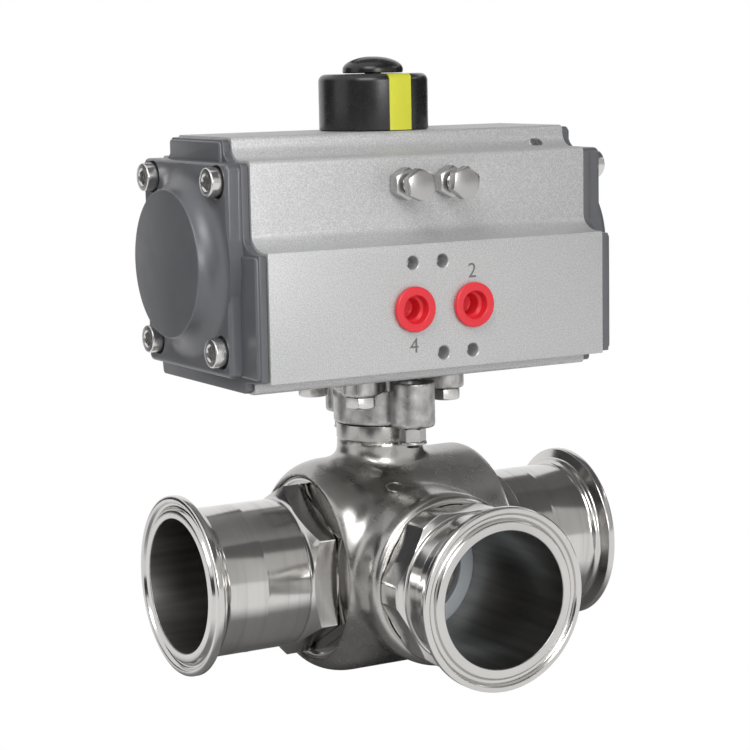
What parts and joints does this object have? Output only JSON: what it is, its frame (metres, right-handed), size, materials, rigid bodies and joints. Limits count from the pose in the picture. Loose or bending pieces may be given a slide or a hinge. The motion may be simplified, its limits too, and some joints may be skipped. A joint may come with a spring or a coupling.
{
  "type": "pneumatic three-way ball valve",
  "caption": "Three-way L-port ball valve in stainless steel with clamp ferrules, turned by a double-acting rack-and-pinion pneumatic actuator with a position indicator.",
  "frame": {"origin": "centre of the ball, where the axes of the three ports meet", "axes": "+X right run port, -Y branch port at the front, +Z stem axis and actuator"},
  "size_m": [0.168, 0.1216, 0.2224],
  "materials": {
    "polished_steel": "polished",
    "satin_steel": "satin",
    "cast_steel": "satin cast",
    "steel_fastener": "plain",
    "anodised_aluminium": "blasted, anodised",
    "grey_paint": "satin",
    "cast_aluminium": "machined casting",
    "ptfe": "satin",
    "black_rubber": "matt",
    "black_plastic": "satin",
    "yellow_plastic": "satin",
    "red_plastic": "satin",
    "acetal": "satin",
    "spring_steel": "oiled"
  },
  "bodies": {
    "valve": {"actuator_housing": "anodised_aluminium", "blind_seat": "ptfe", "bracket_bolt_back_left": "steel_fastener", "bracket_bolt_back_right": "steel_fastener", "bracket_bolt_front_left": "steel_fastener", "bracket_bolt_front_right": "steel_fastener", "branch_gasket": "ptfe", "branch_pipe_cap": "polished_steel", "branch_seat": "ptfe", "disc_spring": "spring_steel", "gland_ring": "satin_steel", "left_cover": "grey_paint", "left_cover_screw_back_low": "steel_fastener", "left_cover_screw_back_top": "steel_fastener", "left_cover_screw_front_low": "steel_fastener", "left_cover_screw_front_top": "steel_fastener", "left_cover_seal": "black_rubber", "left_gasket": "ptfe", "left_pipe_cap": "polished_steel", "left_seat": "ptfe", "mounting_bracket": "cast_steel", "neck_bolt_back": "steel_fastener", "neck_bolt_front": "steel_fastener", "neck_nut_back": "steel_fastener", "neck_nut_front": "steel_fastener", "pinion_lower_bush": "acetal", "pinion_upper_bush": "acetal", "port_plug_left": "red_plastic", "port_plug_right": "red_plastic", "right_cover": "grey_paint", "right_cover_screw_back_low": "steel_fastener", "right_cover_screw_back_top": "steel_fastener", "right_cover_screw_front_low": "steel_fastener", "right_cover_screw_front_top": "steel_fastener", "right_cover_seal": "black_rubber", "right_gasket": "ptfe", "right_pipe_cap": "polished_steel", "right_seat": "ptfe", "stem_nut": "steel_fastener", "stem_packing": "ptfe", "stem_thrust_washer": "ptfe", "stop_bolt_left": "steel_fastener", "stop_bolt_right": "steel_fastener", "stop_nut_left": "steel_fastener", "stop_nut_right": "steel_fastener", "valve_body": "polished_steel"},
    "rotor": {"ball": "polished_steel", "stem": "satin_steel", "pinion": "satin_steel", "stop_cam": "satin_steel", "pinion_circlip": "spring_steel", "indicator_cap": "black_plastic", "indicator_screw": "black_plastic", "indicator_insert_front": "yellow_plastic", "indicator_insert_right": "yellow_plastic"},
    "left_piston": {"left_piston": "cast_aluminium", "left_piston_seal": "black_rubber"},
    "right_piston": {"right_piston": "cast_aluminium", "right_piston_seal": "black_rubber"}
  },
  "joints": [
    {"name": "rotor_turn", "type": "hinge", "parent": "valve", "child": "rotor", "pos_m": [0, 0, 0], "axis": [0, 0, 1], "range_deg": [-90, 0]},
    {"name": "right_piston_slide", "type": "slide", "parent": "valve", "child": "right_piston", "axis": [1, 0, 0], "range_m": [0, 0.0189]},
    {"name": "left_piston_slide", "type": "slide", "parent": "valve", "child": "left_piston", "axis": [-1, 0, 0], "range_m": [0, 0.0189]}
  ],
  "couplings": [
    {"joint": "right_piston_slide", "follows": "rotor_turn", "m_per_rad": -0.012},
    {"joint": "left_piston_slide", "follows": "rotor_turn", "m_per_rad": -0.012}
  ]
}
